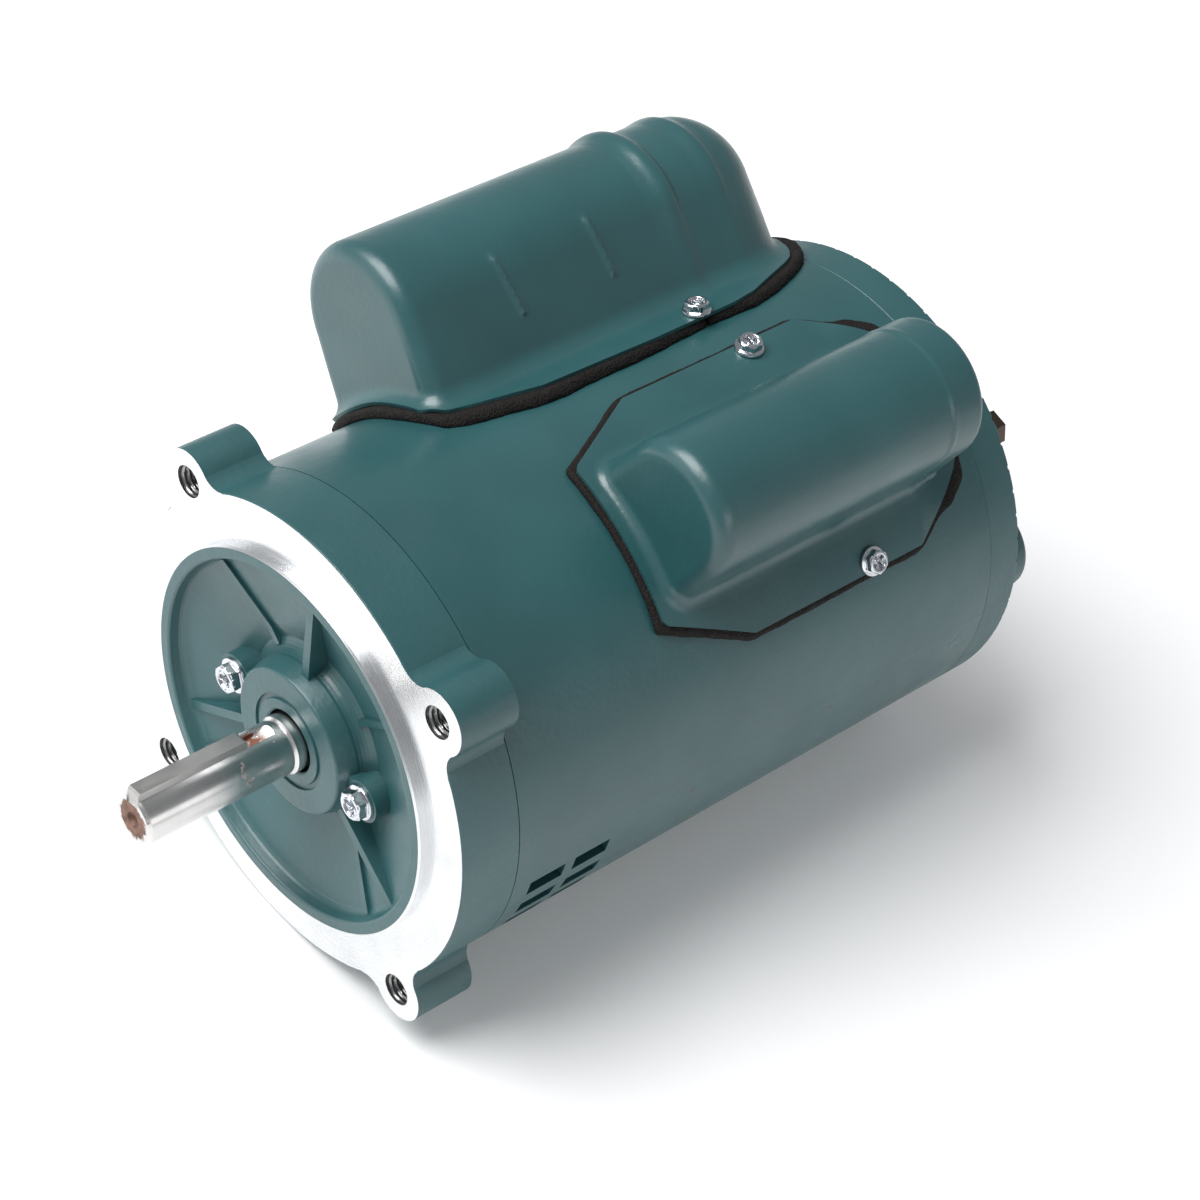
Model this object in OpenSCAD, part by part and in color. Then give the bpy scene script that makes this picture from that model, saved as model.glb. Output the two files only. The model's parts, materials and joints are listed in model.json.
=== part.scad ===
// Single-phase capacitor-start, capacitor-run motor with a 56C mounting face, footless.
// Origin: centre of the mounting face. The shaft points to -Y, the body runs back along +Y, +Z is up.

/* [Mounting face] */
// Diameter of the four-hole bolt circle
bolt_circle = 149.225; // [140:0.5:160]
// Radius of the 3/8-16 holes in the ears
bolt_hole_r = 4.7625; // [3.5:0.01:5.5]
// Diameter of the raised pilot
pilot_d = 114.3; // [110:0.1:118]
// Height of the pilot over the face
pilot_h = 3; // [2:0.1:5]
// Depth of the ears behind the face
ear_len = 18.8; // [17.5:0.1:18.9]
// Depth of the threaded holes in the ears
ear_hole_depth = 15.5; // [12:0.5:16.5]

/* [Frame] */
// Outside diameter of the shell and both end bells
frame_d = 142; // [141.6:0.1:143]
// Thickness of the rolled shell
shell_t = 2.2; // [1.8:0.1:2.4]
// Joint between the front end bell and the shell, behind the face
front_seam = 19.4; // [18:0.1:21]
// Joint between the shell and the rear end bell
rear_seam = 198.1; // [197:0.1:199]
// Rear rim of the rear end bell
rear_rim = 210; // [209.5:0.1:211]
// Radius of the through bolts' circle
tie_r = 61.5; // [61:0.1:62]

/* [Shaft] */
// Diameter of the shaft extension
shaft_d = 15.875; // [15.8:0.005:16]
// Reach of the shaft in front of the face
shaft_reach = 52.4; // [48:0.1:56]
// Width and height of the square key
key_w = 4.7625; // [4:0.01:5]
// Length of the key
key_len = 34.9; // [25:0.1:36]
// Clock angle of the key at rest
key_angle = 97; // [0:1:359]

/* [Bearings] */
// Bore of both bearings
bearing_bore = 17; // [16.8:0.1:17]
// Outside diameter of both bearings
bearing_od = 40; // [40:0.1:40.2]
// Width of both bearings
bearing_w = 12; // [11.8:0.1:12]
// Number of balls in a bearing
ball_count = 8; // [6:1:8]

/* [Core] */
// Length of the stator and rotor stacks
stack_len = 80; // [70:1:80]
// Front of the stack behind the face
stack_front = 62; // [62:1:64]
// Number of stator slots
slot_count = 36; // [24:12:36]

/* [Start capacitor cover] */
// Clock angle of the start capacitor
start_angle = 130; // [128:1:132]
// Height of the cover's crown over the motor's axis
start_crown = 119.5; // [119.5:0.5:122]
// Half of the cover's width
start_half = 24.7; // [24.5:0.1:26]
// Front end of the start cover's dome
start_front = 61; // [58:0.5:62]
// Rear end of the start cover's dome
start_rear = 199.8; // [199:0.1:201]

/* [Run capacitor cover] */
// Clock angle of the run capacitor
run_angle = 60; // [58:1:62]
// Height of the cover's crown over the motor's axis
run_crown = 108.5; // [108.4:0.1:110]
// Half of the cover's width
run_half = 20.5; // [20.2:0.1:21]
// Front end of the run cover's dome
run_front = 81; // [79:0.5:82]
// Rear end of the run cover's dome
run_rear = 180.5; // [180:0.5:186]

/* [Hidden] */
$fn = 96;

// Rows and columns of the shell's vent slots: clock angles and middle depths
slot_rows = [-9, -17.6, -26.2, -34.8];
slot_columns = [32.1, 48];
slot_w = 5.7;
slot_l = 12.3;

// Clock angles of the rear vents, on both sides of the horizontal
vent_angles = concat([24, 30, 150], [for (a = [60:6:120]) a]);

// Colours
paint = [0.24, 0.38, 0.38];
bare_cast = [0.82, 0.83, 0.84];
steel = [0.62, 0.63, 0.65];
zinc = [0.78, 0.80, 0.82];
foam = [0.10, 0.09, 0.09];
copper = [0.72, 0.40, 0.22];
phenolic = [0.16, 0.13, 0.11];

// Radii of the frame
frame_r = frame_d / 2;
shell_in = frame_r - shell_t;
spigot_r = shell_in - 0.05;
cavity_r = spigot_r - 3.9;
pilot_r = pilot_d / 2;
rim_in = pilot_r - 4.1;
ear_r = 9.5;
ear_c = bolt_circle / 2;
ear_fillet = 7;
fillet_bite = 0.12;
ear_angles = [45, 135, 225, 315];
gusset_angles = [90, 210, 330];
side_angles = [0, 180];
retainer_c = 28;
retainer_seat = 1.2;

// Bearings and the shaft's steps
bore_r = bearing_bore / 2;
od_r = bearing_od / 2;
ball_pitch = 14.25;
ball_r = 3.3;
groove_r = 3.38;
cage_half = 4.2;
front_bearing = 10.5;
rear_bearing = 197;
shaft_r = shaft_d / 2;
hub_face = 2;
hub_bore = 9.35;
neck_r = 10;
seat_r = 11;
key_floor = 5.19;
shaft_end = rear_bearing + bearing_w + 0.6;

// Core
stack_back = stack_front + stack_len;
rotor_r = 40.6;
stator_bore = 41;
slot_top = 56;
bar_count = 28;

// Governor and switch
governor_front = 160;
collar_front = 172.4;
collar_back = 186.2;
pivot_x = 24;
pivot_d = 178;
pin_r = 1.4;
plate_front = 190.5;
board_front = 192.3;
board_t = 2.4;
boss_d = 224;
conduit_x = 50;
conduit_r = 9.8;
through_r = 2.4;
cover_seat = 214.6;
tie_seat = 211.8;
boss_r = 14.5;

// Capacitor covers
sheet_t = 1.2;
start_gasket = [frame_r + 0.05, frame_r + 2.8];
run_gasket = [frame_r + 0.05, frame_r + 2.0];
start_can = [start_front + 5, 175];
run_can = [run_front + 4.5, 162.5];
start_can_h = frame_r + 23.9;
run_can_h = frame_r + 18.1;
start_lead_depth = start_can[1] + 8;
run_lead_depth = run_can[1] + 7.5;
lead_shift = 4.5;
lead_r = 1.4;
lead_apart = 2.6;
hole_r = 6;
start_round = 6;
rear_round = 23;
run_round = 4;
cover_shank_r = 1.9;
cover_hole_r = 2.1;
blade_y = 7;
blade_half = 3.2;

// Points of an arc about (cx, cy) from angle a0 to a1
function arc(cx, cy, r, a0, a1, n = 6) =
    [for (i = [0:n]) [cx + r * cos(a0 + (a1 - a0) * i / n), cy + r * sin(a0 + (a1 - a0) * i / n)]];

// Turns the local z axis to +Y, so that z is the depth behind the mounting face
module motor() rotate([-90, 0, 0]) children();

// Turns local +x to a clock angle, counter-clockwise as seen from the shaft's end
module spoke(a) rotate([0, 0, -a]) children();

// Round tube between two depths
module tube(r_out, r_in, d0, d1) {
    translate([0, 0, d0]) difference() {
        cylinder(r = r_out, h = d1 - d0);
        translate([0, 0, -1]) cylinder(r = r_in, h = d1 - d0 + 2);
    }
}

// Solid cylinder along the motor's axis between two depths
module rod(r, d0, d1) translate([0, 0, d0]) cylinder(r = r, h = d1 - d0);

// Block from its low corner to its high corner
module block(lo, hi) translate(lo) cube(hi - lo);

// Plate in the radial plane: points are (radius, depth)
module web(points, t) {
    translate([0, t / 2, 0]) rotate([90, 0, 0]) linear_extrude(t) polygon(points);
}

// Screw with a hexagonal head on a round washer, head upwards from z = 0
module washer_screw(washer_r, washer_t, across, head_h, shank_r, shank_len) {
    cylinder(r = washer_r, h = washer_t);
    difference() {
        cylinder(r = across / sqrt(3), h = head_h, $fn = 6);
        translate([-across, -0.6, head_h - 1.2]) cube([2 * across, 1.2, 2]);
    }
    translate([0, 0, -shank_len]) cylinder(r = shank_r, h = shank_len + 0.1);
}

// ---- Front end bell ----

// Section of the front end bell's turned body, as (radius, depth)
module front_section() {
    polygon(concat(
        [[hub_bore, 8], [hub_bore, -hub_face + 0.5], [hub_bore + 0.5, -hub_face],
         [12.7, -hub_face], [12.9, -hub_face + 0.7], [14.2, -hub_face + 0.7], [14.4, -hub_face],
         [20.9, -hub_face]],
        arc(20.9, -hub_face + 0.8, 0.8, -90, -15, 3),
        [[23.2, 3.6]],
        arc(27.9, 3.2, 4.8, 165, 103, 5),
        arc(rim_in - 3.3, -1.3, 3, 82, 8, 5),
        [[rim_in, -pilot_h + 0.9]],
        arc(rim_in + 0.9, -pilot_h + 0.9, 0.9, 180, 270, 4),
        [[pilot_r - 0.5, -pilot_h], [pilot_r, -pilot_h + 0.5], [pilot_r, 0]],
        arc(frame_r - 0.5, 0.5, 0.5, -90, 0, 3),
        [[frame_r, front_seam - 0.3], [frame_r - 0.3, front_seam], [spigot_r, front_seam],
         [spigot_r, front_seam + 6.3], [spigot_r - 0.6, front_seam + 6.9],
         [cavity_r, front_seam + 6.9]],
        arc(cavity_r - 5, 10.4, 5, 0, -80, 6),
        [[52.4, 5.8], [30, 12.4], [25, 13.8], [25, 22.2], [24.4, 22.8], [od_r, 22.8],
         [od_r, front_bearing], [13, front_bearing], [13, 8]]
    ));
}

// Outline of one ear in the face plane, filleted into the ring
module ear_outline() {
    ring = frame_r + ear_fillet - fillet_bite;
    lobe = ear_r + ear_fillet - fillet_bite;
    fx = (ring * ring + ear_c * ear_c - lobe * lobe) / (2 * ear_c);
    fy = sqrt(ring * ring - fx * fx);
    k = (frame_r - 1.7) / ring;
    m = (ear_r - 1.3) / lobe;
    ex = ear_c + (fx - ear_c) * m;
    ey = fy * m;
    translate([ear_c, 0]) circle(r = ear_r);
    difference() {
        polygon([[60, -fy * k], [fx * k, -fy * k], [fx, -fy], [ex, -ey],
                 [ex, ey], [fx, fy], [fx * k, fy * k], [60, fy * k]]);
        for (s = [-1, 1]) translate([fx, s * fy]) circle(r = ear_fillet);
    }
}

module front_endbell() color(paint) motor() difference() {
    union() {
        rotate_extrude() front_section();
        for (a = ear_angles) spoke(a) difference() {
            linear_extrude(ear_len) ear_outline();
            rod(cavity_r + 0.5, 6, ear_len + 1);
        }
        for (a = ear_angles) spoke(a) translate([tie_r, 0, 5]) cylinder(r = 5.5, h = 19);
        for (a = gusset_angles) spoke(a)
            web([[22.5, 1.6], [rim_in - 0.4, 0.6], [rim_in - 0.2, 4], [24, 10]], 2.8);
        for (a = ear_angles) spoke(a)
            web([[25, 6.3], [30, 6.0], [rim_in - 1, 0.1], [rim_in - 0.6, 3], [25, 10]], 2);
        for (a = side_angles) spoke(a) {
            block([19, -4.6, retainer_seat], [retainer_c, 4.6, 10]);
            translate([retainer_c, 0, retainer_seat]) cylinder(r = 6.3, h = 11);
            translate([retainer_c, 0, 10]) cylinder(r = 5, h = 12.8);
        }
    }
    for (a = ear_angles) spoke(a) {
        translate([ear_c, 0, -1]) cylinder(r = bolt_hole_r, h = ear_hole_depth + 1);
        translate([tie_r, 0, 12]) cylinder(r = through_r, h = 14);
    }
    for (a = side_angles) spoke(a) translate([retainer_c, 0, 0]) cylinder(r = 2.5, h = 24);
}

// ---- Bearings ----

module ball_circle(depth) {
    for (i = [0:ball_count - 1]) rotate([0, 0, i * 360 / ball_count])
        translate([ball_pitch, 0, depth + bearing_w / 2]) children();
}

module raceway(depth) {
    translate([0, 0, depth + bearing_w / 2]) rotate_extrude()
        translate([ball_pitch, 0]) circle(r = groove_r);
}

module outer_ring(depth) color(steel) motor() difference() {
    rod(od_r, depth, depth + bearing_w);
    rod(16.3, depth - 1, depth + bearing_w + 1);
    rod(17.2, depth - 1, depth + 1);
    rod(17.2, depth + bearing_w - 1, depth + bearing_w + 1);
    raceway(depth);
}

module inner_ring(depth) color(steel) motor() difference() {
    rod(12.2, depth, depth + bearing_w);
    rod(bore_r, depth - 1, depth + bearing_w + 1);
    raceway(depth);
}

module bearing_balls(depth) color(zinc) motor() ball_circle(depth) sphere(r = ball_r);

module ball_cage(depth) color("goldenrod") motor() difference() {
    tube(15.4, 13.1, depth + bearing_w / 2 - cage_half, depth + bearing_w / 2 + cage_half);
    ball_circle(depth) rotate([0, 90, 0]) cylinder(r = ball_r + 0.12, h = 6, center = true);
}

module bearing_shields(depth) color(zinc) motor() {
    tube(17.2, 12.7, depth + 0.4, depth + 0.8);
    tube(17.2, 12.7, depth + bearing_w - 0.8, depth + bearing_w - 0.4);
}

module front_bearing_outer_ring() outer_ring(front_bearing);
module rear_bearing_outer_ring() outer_ring(rear_bearing);
module front_bearing_inner_ring() inner_ring(front_bearing);
module rear_bearing_inner_ring() inner_ring(rear_bearing);
module front_balls() bearing_balls(front_bearing);
module rear_balls() bearing_balls(rear_bearing);
module front_ball_cage() ball_cage(front_bearing);
module rear_ball_cage() ball_cage(rear_bearing);
module front_bearing_shields() bearing_shields(front_bearing);
module rear_bearing_shields() bearing_shields(rear_bearing);

module bearing_retainer() color(steel) motor() difference() {
    union() {
        rod(24.5, 22.8, 24.8);
        for (a = side_angles) spoke(a) {
            block([15, -5.5, 22.8], [retainer_c, 5.5, 24.8]);
            translate([retainer_c, 0, 22.8]) cylinder(r = 5.5, h = 2);
        }
    }
    rod(16.8, 22, 26);
    for (a = side_angles) spoke(a) translate([retainer_c, 0, 22]) cylinder(r = 2, h = 4);
}

module retainer_screws() color(zinc) motor() {
    for (a = side_angles) spoke(a) translate([retainer_c, 0, retainer_seat]) rotate([180, 0, 0])
        washer_screw(5.3, 1, 7.9, 4, 2, 25);
}

module wave_washer() color(steel) motor()
    tube(19.4, 15.5, rear_bearing + bearing_w, rear_bearing + bearing_w + 1.6);

// ---- Frame shell and stator ----

module frame_shell() color(paint) motor() difference() {
    tube(frame_r, shell_in, front_seam, rear_seam);
    for (a = slot_rows) for (side = [a, 180 - a]) spoke(side) for (d = slot_columns)
        translate([65, -slot_w / 2, d - slot_l / 2]) cube([10, slot_w, slot_l]);
    lead_place(start_angle, start_lead_depth) cylinder(r = hole_r, h = 20);
    lead_place(run_angle, run_lead_depth) cylinder(r = hole_r, h = 20);
    start_screw_places() cylinder(r = cover_shank_r, h = 16, center = true);
    run_screw_places() cylinder(r = cover_shank_r, h = 16, center = true);
}

module stator_core() color([0.35, 0.36, 0.38]) motor() translate([0, 0, stack_front])
    linear_extrude(stack_len) difference() {
        circle(r = shell_in);
        circle(r = stator_bore);
        for (i = [0:slot_count - 1]) rotate(i * 360 / slot_count) {
            translate([stator_bore - 1, -1]) square([3, 2]);
            translate([stator_bore + 1.8, -1.6]) square([slot_top - stator_bore - 1.8, 3.2]);
        }
        for (a = ear_angles) rotate(-a) translate([tie_r, 0]) circle(r = 3.2);
    }

// End turns and slot bars of one winding
module winding(bar_in, bar_out, turn_in, turn_out, overhang) {
    for (i = [0:slot_count - 1]) rotate([0, 0, i * 360 / slot_count])
        block([bar_in, -1.5, stack_front - 1.5], [bar_out, 1.5, stack_back + 1.5]);
    for (end = [0, 1]) {
        base = end == 0 ? stack_front - 0.5 : stack_back + 0.5;
        s = end == 0 ? -1 : 1;
        rotate_extrude() polygon([
            [turn_in, base], [turn_out, base], [turn_out, base + s * (overhang - 4)],
            [turn_out - 3, base + s * overhang], [turn_in + 2, base + s * overhang],
            [turn_in, base + s * (overhang - 3)]
        ]);
    }
}

module main_winding() color(copper) motor() winding(50, 55.8, 49.8, 58, 19.5);
module start_winding() color([0.62, 0.30, 0.18]) motor() winding(43.2, 49.4, 42.6, 49.5, 16.5);

// ---- Rear end bell ----

module rear_section() {
    polygon(concat(
        [[0, 213], [12, 213], [12, rear_bearing + bearing_w + 1.6],
         [od_r, rear_bearing + bearing_w + 1.6], [od_r, rear_bearing - 0.4],
         [24.6, rear_bearing - 0.4], [25.2, rear_bearing + 0.2], [25.2, 209.4], [30, 210],
         [60, 208.4]],
        arc(cavity_r - 4, 203.4, 4, 75, 0, 5),
        [[cavity_r, rear_seam - 7.6], [spigot_r - 0.6, rear_seam - 7.6], [spigot_r, rear_seam - 7],
         [spigot_r, rear_seam], [frame_r - 0.3, rear_seam], [frame_r, rear_seam + 0.3]],
        arc(frame_r - 0.6, rear_rim - 0.6, 0.6, 0, 90, 3),
        [[66.6, rear_rim + 0.3], [60, 212.6], [30, 214.5]],
        arc(24, 215.5, 2, 0, 90, 4),
        [[0, 217.5]]
    ));
}

// Round boss with a rolled end for the conduit thread
module conduit_boss() {
    translate([conduit_x, 0, 0]) rotate_extrude() polygon(concat(
        [[0, 208], [boss_r + 0.3, 208]],
        arc(boss_r - 1.6, boss_d - 1.6, 1.6, 0, 90, 4),
        [[0, boss_d]]
    ));
}

module rear_endbell() color(paint) motor() difference() {
    union() {
        rotate_extrude() rear_section();
        conduit_boss();
        for (a = ear_angles) spoke(a) translate([tie_r, 0, 204]) cylinder(r = 7.4, h = tie_seat - 204);
        spoke(180) block([29, -19, 209], [62, 19, cover_seat]);
        for (a = [75, 112, 160]) spoke(a) translate([55, 0, board_front + board_t])
            cylinder(r = 3, h = 209 - board_front - board_t);
        for (a = [-20, 200, 270]) spoke(a) translate([34, 0, plate_front + 2])
            cylinder(r = 3, h = 210.5 - plate_front - 2);
    }
    rod(od_r, rear_bearing - 2, rear_bearing + bearing_w + 1.6);
    translate([conduit_x, 0, 180]) cylinder(r = conduit_r, h = 50);
    for (a = ear_angles) spoke(a) {
        translate([tie_r, 0, 180]) cylinder(r = 2.8, h = 40);
        translate([tie_r, 0, tie_seat]) cylinder(r = 6.4, h = 10);
    }
    spoke(180) block([33, -12, 200], [57, 12, 220]);
    spoke(180) for (s = [-1, 1]) translate([45, s * 15.5, 208]) cylinder(r = 1.5, h = 10);
    for (a = vent_angles) for (side = [a, -a]) spoke(side) block([44, -1.4, 200], [63, 1.4, 216]);
    for (a = [-174:6:180]) spoke(a) block([67, -0.65, rear_rim - 0.7], [73, 0.65, rear_rim + 2]);
    spoke(-30) translate([37, 0, 205]) cylinder(r = 1.9, h = 12);
}

module through_bolts() color([0.25, 0.20, 0.18]) motor() for (a = ear_angles) spoke(a)
    translate([tie_r, 0, tie_seat]) {
        cylinder(r = 9.5 / sqrt(3), h = 5.2, $fn = 6);
        translate([0, 0, 14 - tie_seat]) cylinder(r = through_r, h = tie_seat - 14 + 0.1);
    }

module terminal_cover() color(paint) motor() spoke(180) difference() {
    block([30, -18, cover_seat], [61, 18, cover_seat + 1.2]);
    for (s = [-1, 1]) translate([45, s * 15.5, 210]) cylinder(r = 1.7, h = 10);
}

module terminal_cover_screws() color(zinc) motor() spoke(180) for (s = [-1, 1])
    translate([45, s * 15.5, cover_seat + 1.2]) washer_screw(3.6, 0.8, 5.5, 2.8, 1.5, 6);

module ground_screw() color([0.20, 0.50, 0.25]) motor() spoke(-30)
    translate([37, 0, 214.4]) washer_screw(4.6, 0.9, 7.9, 3.4, 1.9, 7);

// ---- Capacitor covers ----

// Block with an arched top: half width w, crown height, from depth d0 to d1.
// Its front and rear edges are rounded by round[0] and round[1].
module arched_body(w, crown, d0, d1, round, base) {
    hull() for (end = [[d0 + round[0], round[0]], [d1 - round[1], round[1]]])
        translate([0, 0, end[0]]) {
            translate([crown - w, 0, 0]) rotate_extrude($fn = 48) intersection() {
                translate([w - end[1], 0]) circle(r = end[1], $fn = 32);
                translate([0, -end[1]]) square([w, 2 * end[1]]);
            }
            for (s = [-1, 1]) translate([base, s * (w - end[1]), 0]) rotate([0, 90, 0])
                cylinder(r = end[1], h = 1, $fn = 32);
        }
}

// Prism along the radius over an outline of (across, depth) points
module radial_prism(points, r0, r1) {
    translate([r0, 0, 0]) rotate([90, 0, 90]) linear_extrude(r1 - r0) polygon(points);
}

// Flange outline with cut corners, widened all round by g
function flange_outline(d0, d1, dc0, dc1, half, nose, tail, g) = [
    [-nose - 0.5 * g, d0 - g], [nose + 0.5 * g, d0 - g], [half + g, dc0 - 0.5 * g],
    [half + g, dc1 + 0.5 * g], [tail + 0.5 * g, d1 + g], [-tail - 0.5 * g, d1 + g],
    [-half - g, dc1 + 0.5 * g], [-half - g, dc0 - 0.5 * g]
];
function start_outline(g) = flange_outline(57.2, 201, 90, 165, 36.2, 25, 21, g);
function run_outline(g) = flange_outline(76, 186.5, 104.5, 170, 36.5, 23.5, 27, g);

module start_screw_places() {
    spoke(start_angle) for (s = [-1, 1]) rotate([0, 0, s * 26.4])
        translate([frame_r + 3.9, 0, 148.4]) rotate([0, 90, 0]) children();
}
module run_screw_places() {
    spoke(run_angle) for (s = [-1, 1]) rotate([0, 0, s * 27.4])
        translate([frame_r + 3.1, 0, 148.9]) rotate([0, 90, 0]) children();
}

// Drawn cover: domed shell on a curved flange between radii r0 and r1
module drawn_cover(angle, points, r0, r1, w, crown, d0, d1, round) spoke(angle) difference() {
    union() {
        intersection() {
            tube(r1, r0, d0 - 20, d1 + 20);
            radial_prism(points, 40, 90);
        }
        difference() {
            arched_body(w, crown, d0, d1, round, 50);
            rod(r0, d0 - 20, d1 + 20);
        }
    }
    arched_body(w - sheet_t, crown - sheet_t, d0 + sheet_t, d1 - sheet_t,
        [round[0] - sheet_t, round[1] - sheet_t], 45);
}

// Foam strip that follows a flange, open under the dome, with one butt joint
module foam_gasket(angle, outer, inner, radii, joint) spoke(angle) difference() {
    intersection() {
        tube(radii[1], radii[0], 30, 230);
        radial_prism(outer, 40, 90);
    }
    radial_prism(inner, 30, 95);
    block([50, joint[0], joint[1] - 0.6], [95, joint[0] + 20, joint[1] + 0.6]);
}

module start_capacitor_cover() color(paint) motor() difference() {
    drawn_cover(start_angle, start_outline(0), start_gasket[1], start_gasket[1] + sheet_t - 0.1,
        start_half, start_crown, start_front, start_rear, [start_round, rear_round]);
    start_screw_places() cylinder(r = cover_hole_r, h = 12, center = true);
}

module start_cover_gasket() color(foam) motor() difference() {
    foam_gasket(start_angle, start_outline(1), start_outline(-8), start_gasket, [28, 149.5]);
    start_screw_places() cylinder(r = cover_hole_r, h = 12, center = true);
}

module start_cover_screws() color(zinc) motor() start_screw_places()
    washer_screw(4.3, 0.9, 6.35, 3.3, cover_shank_r, 8);

module run_capacitor_cover() color(paint) motor() difference() {
    drawn_cover(run_angle, run_outline(0), run_gasket[1], run_gasket[1] + sheet_t - 0.1,
        run_half, run_crown, run_front, run_rear, [run_round, run_round]);
    run_screw_places() cylinder(r = cover_hole_r, h = 12, center = true);
}

module run_cover_gasket() color(foam) motor() difference() {
    foam_gasket(run_angle, run_outline(1), run_outline(-8), run_gasket, [28, 150.5]);
    run_screw_places() cylinder(r = cover_hole_r, h = 12, center = true);
}

module run_cover_screws() color(zinc) motor() run_screw_places()
    washer_screw(4.3, 0.9, 6.35, 3.3, cover_shank_r, 7.5);

// Round capacitor can with a stepped terminal end
module can(angle, r, height, depths) color([0.12, 0.12, 0.13]) motor() spoke(angle)
    translate([height, 0, 0]) {
        rod(r, depths[0], depths[1] - 2);
        rod(r - 1.4, depths[1] - 2, depths[1]);
    }
module start_capacitor() can(start_angle, 22.8, start_can_h, start_can);
module run_capacitor() can(run_angle, 17.9, run_can_h, run_can);

// Two blade terminals on a can's rear end
module blades(angle, height, depth) color(zinc) motor() spoke(angle) translate([height, 0, 0])
    for (s = [-1, 1]) block([-blade_half, s * blade_y - 0.4, depth],
        [blade_half, s * blade_y + 0.4, depth + 10]);
module start_capacitor_terminals() blades(start_angle, start_can_h, start_can[1]);
module run_capacitor_terminals() blades(run_angle, run_can_h, run_can[1]);

// Centre of the lead hole in the shell: z runs outwards along the radius
module lead_place(angle, depth)
    spoke(angle) translate([60, lead_shift, depth]) rotate([0, 90, 0]) children();

// One lead: down from its terminal, through the shell and back to the board
module lead(y, top, depth, end) translate([0, y, 0]) {
    translate([61, 0, depth]) rotate([0, 90, 0]) cylinder(r = lead_r, h = top - 61);
    translate([61, 0, depth + 6]) rotate([90, 0, 0]) rotate([0, 0, 180])
        rotate_extrude(angle = 90) translate([6, 0]) circle(r = lead_r);
    translate([55, 0, depth + 6]) cylinder(r = lead_r, h = end - depth - 6);
}

// Two leads, one to the near blade's edge and one that crosses to the far blade
module lead_pair(angle, height, depth) motor() spoke(angle) {
    lead(lead_shift + lead_apart, height - blade_half, depth, board_front);
    lead(lead_shift - lead_apart, height, depth, board_front);
    translate([height, lead_shift - lead_apart, depth]) {
        sphere(r = lead_r);
        rotate([90, 0, 0]) cylinder(r = lead_r, h = blade_y - 0.4 + lead_shift - lead_apart);
    }
}
module start_capacitor_leads() color("firebrick") lead_pair(start_angle, start_can_h, start_lead_depth);
module run_capacitor_leads() color("goldenrod") lead_pair(run_angle, run_can_h, run_lead_depth);

// Rubber bushing in a lead hole
module grommet(angle, depth) lead_place(angle, depth) difference() {
    union() {
        translate([0, 0, 7]) cylinder(r = hole_r, h = 6.4);
        translate([0, 0, frame_r - 59.9]) cylinder(r = hole_r + 1.2, h = 1.6);
    }
    cylinder(r = hole_r - 1.3, h = 20);
}
module lead_grommets() color(foam) motor() {
    grommet(start_angle, start_lead_depth);
    grommet(run_angle, run_lead_depth);
}

// ---- Terminal board and switch ----

board_blades = [[176, 50], [176, 58], [186, 50], [186, 58], [168, 54], [194, 54]];

module board_outline() intersection() {
    difference() {
        circle(r = 63.5);
        circle(r = 46.5);
    }
    polygon(concat([[0, 0]], [for (a = [51:12:207]) [90 * cos(a), -90 * sin(a)]]));
}

module terminal_board() color(phenolic) motor() difference() {
    translate([0, 0, board_front]) linear_extrude(board_t) board_outline();
    spoke(135) translate([tie_r, 0, 180]) cylinder(r = 4.4, h = 30);
    for (a = [75, 112, 160]) spoke(a) translate([55, 0, 180]) cylinder(r = 1.6, h = 30);
    for (b = board_blades) spoke(b[0]) block([b[1] - 2.4, -0.4, 180], [b[1] + 2.4, 0.4, 210]);
}

module terminal_board_screws() color(zinc) motor() for (a = [75, 112, 160]) spoke(a)
    translate([55, 0, board_front]) rotate([180, 0, 0]) {
        cylinder(r = 2.8, h = 1.8);
        translate([0, 0, -board_t]) cylinder(r = 1.6, h = board_t + 0.1);
    }

module terminal_blades() color(zinc) motor() for (b = board_blades) spoke(b[0])
    block([b[1] - 2.4, -0.4, board_front - 1.5], [b[1] + 2.4, 0.4, board_front + 9]);

module switch_plate() color(phenolic) motor() {
    difference() {
        tube(45.5, 26, plate_front, plate_front + 2);
        translate([conduit_x, 0, plate_front - 1]) cylinder(r = conduit_r + 2.2, h = 4);
    }
    for (s = [-1, 1]) block([18 + s * 4 - 1, -38, 186.4], [18 + s * 4 + 1, -33, plate_front]);
    translate([12, -35.5, 187.4]) rotate([0, 90, 0]) cylinder(r = 0.8, h = 12);
}

module fixed_contact() color(copper) motor() {
    block([15.5, -45.4, 184.8], [20.5, -43.6, plate_front]);
    block([15.5, -45, 184.8], [20.5, -39.5, 186.3]);
}

module switch_arm() color(copper) motor() difference() {
    union() {
        block([15.6, -42.5, 186.6], [20.4, 2.5, 188.1]);
        translate([15.6, -35.5, 187.4]) rotate([0, 90, 0]) cylinder(r = 1.7, h = 4.8);
    }
    translate([10, -35.5, 187.4]) rotate([0, 90, 0]) cylinder(r = 0.86, h = 14);
}

// ---- Rotor ----

module shaft_section() {
    polygon([
        [0, -shaft_reach], [shaft_r - 0.9, -shaft_reach], [shaft_r, -shaft_reach + 0.9],
        [shaft_r, -6.6], [shaft_r - 0.25, -6.3], [shaft_r - 0.25, -5.4], [shaft_r, -5.1],
        [bore_r, -4.6], [bore_r, front_bearing + bearing_w], [neck_r, front_bearing + bearing_w],
        [neck_r, 40], [seat_r, 40], [seat_r, stack_back + 16], [neck_r, stack_back + 16],
        [neck_r, rear_bearing], [bore_r, rear_bearing], [bore_r, shaft_end - 0.6],
        [bore_r - 0.6, shaft_end], [0, shaft_end]
    ]);
}

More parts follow.
